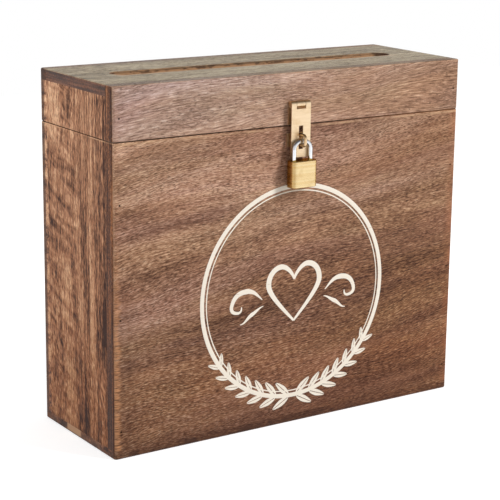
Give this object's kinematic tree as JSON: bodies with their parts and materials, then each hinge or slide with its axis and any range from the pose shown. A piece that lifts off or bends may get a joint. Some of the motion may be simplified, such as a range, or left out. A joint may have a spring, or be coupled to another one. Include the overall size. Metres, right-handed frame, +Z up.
{
  "type": "wedding card box",
  "caption": "Lockable stained-wood wedding card box with a hinged lid, a long card slot in its top, a brass hasp and a small hanging padlock.",
  "frame": {"origin": "on the floor under the middle of the box's footprint", "axes": "+Z up, front with the hasp towards -Y, +X to the right as seen from the front"},
  "size_m": [0.3, 0.1226, 0.262],
  "materials": {
    "front_wood": "dark walnut stain, satin, grain across the width",
    "side_wood": "dark walnut stain, satin, upright grain",
    "top_wood": "dark walnut stain, satin, grain across the width",
    "base_wood": "dark walnut stain, satin",
    "hinge_brass": "bright brass plate",
    "hasp_brass": "pale brass plate, smooth",
    "padlock_brass": "brushed brass",
    "shackle_chrome": "polished chrome plate",
    "steel": "plain steel",
    "cream_paint": "cream print on the front"
  },
  "bodies": {
    "box": {"front_panel": "front_wood", "back_panel": "front_wood", "left_panel": "side_wood", "right_panel": "side_wood", "base_panel": "base_wood", "box_brads": "steel", "left_hinge_box_leaf": "hinge_brass", "right_hinge_box_leaf": "hinge_brass", "left_hinge_pin": "hinge_brass", "right_hinge_pin": "hinge_brass", "box_hinge_screws": "hinge_brass", "staple_plate": "hasp_brass", "staple_loop": "hasp_brass", "staple_screws": "hasp_brass"},
    "lid": {"lid_front_board": "front_wood", "lid_back_board": "front_wood", "lid_left_board": "side_wood", "lid_right_board": "side_wood", "lid_top_board": "top_wood", "lid_brads": "steel", "left_hinge_lid_leaf": "hinge_brass", "right_hinge_lid_leaf": "hinge_brass", "lid_hinge_screws": "hinge_brass", "hasp_plate": "hasp_brass", "hasp_pin": "hasp_brass", "hasp_screws": "hasp_brass"},
    "hasp_strap": {"hasp_strap": "hasp_brass"},
    "padlock_shackle": {"padlock_shackle": "shackle_chrome"},
    "padlock_case": {"padlock_case": "padlock_brass", "padlock_pins": "padlock_brass", "bolt_spring": "steel"},
    "key_plug": {"key_plug": "padlock_brass"},
    "locking_bolt": {"locking_bolt": "steel"}
  },
  "joints": [
    {"name": "lid_hinge", "type": "hinge", "parent": "box", "child": "lid", "pos_m": [0, 0.0554, 0.224], "axis": [-1, 0, 0], "range_deg": [0, 180]},
    {"name": "strap_hinge", "type": "hinge", "parent": "lid", "child": "hasp_strap", "pos_m": [0, -0.0555, 0.2395], "axis": [-1, 0, 0], "range_deg": [0, 175]},
    {"name": "padlock_swing", "type": "hinge", "parent": "box", "child": "padlock_shackle", "pos_m": [0, -0.05975, 0.213], "axis": [-1, 0, 0], "range_deg": [0, 165]},
    {"name": "shackle_rise", "type": "slide", "parent": "padlock_shackle", "child": "padlock_case", "axis": [0, 0, -1], "range_m": [0, 0.0076]},
    {"name": "key_turn", "type": "hinge", "parent": "padlock_case", "child": "key_plug", "pos_m": [0, -0.05975, 0.18], "axis": [0, 0, 1], "range_deg": [0, 90]},
    {"name": "bolt_draw", "type": "slide", "parent": "padlock_case", "child": "locking_bolt", "axis": [-1, 0, 0], "range_m": [0, 0.0038], "deforming": ["bolt_spring"]}
  ],
  "couplings": [
    {"joint": "key_turn", "follows": "shackle_rise", "rad_per_m": 206.6},
    {"joint": "bolt_draw", "follows": "shackle_rise", "ratio": 0.5}
  ]
}
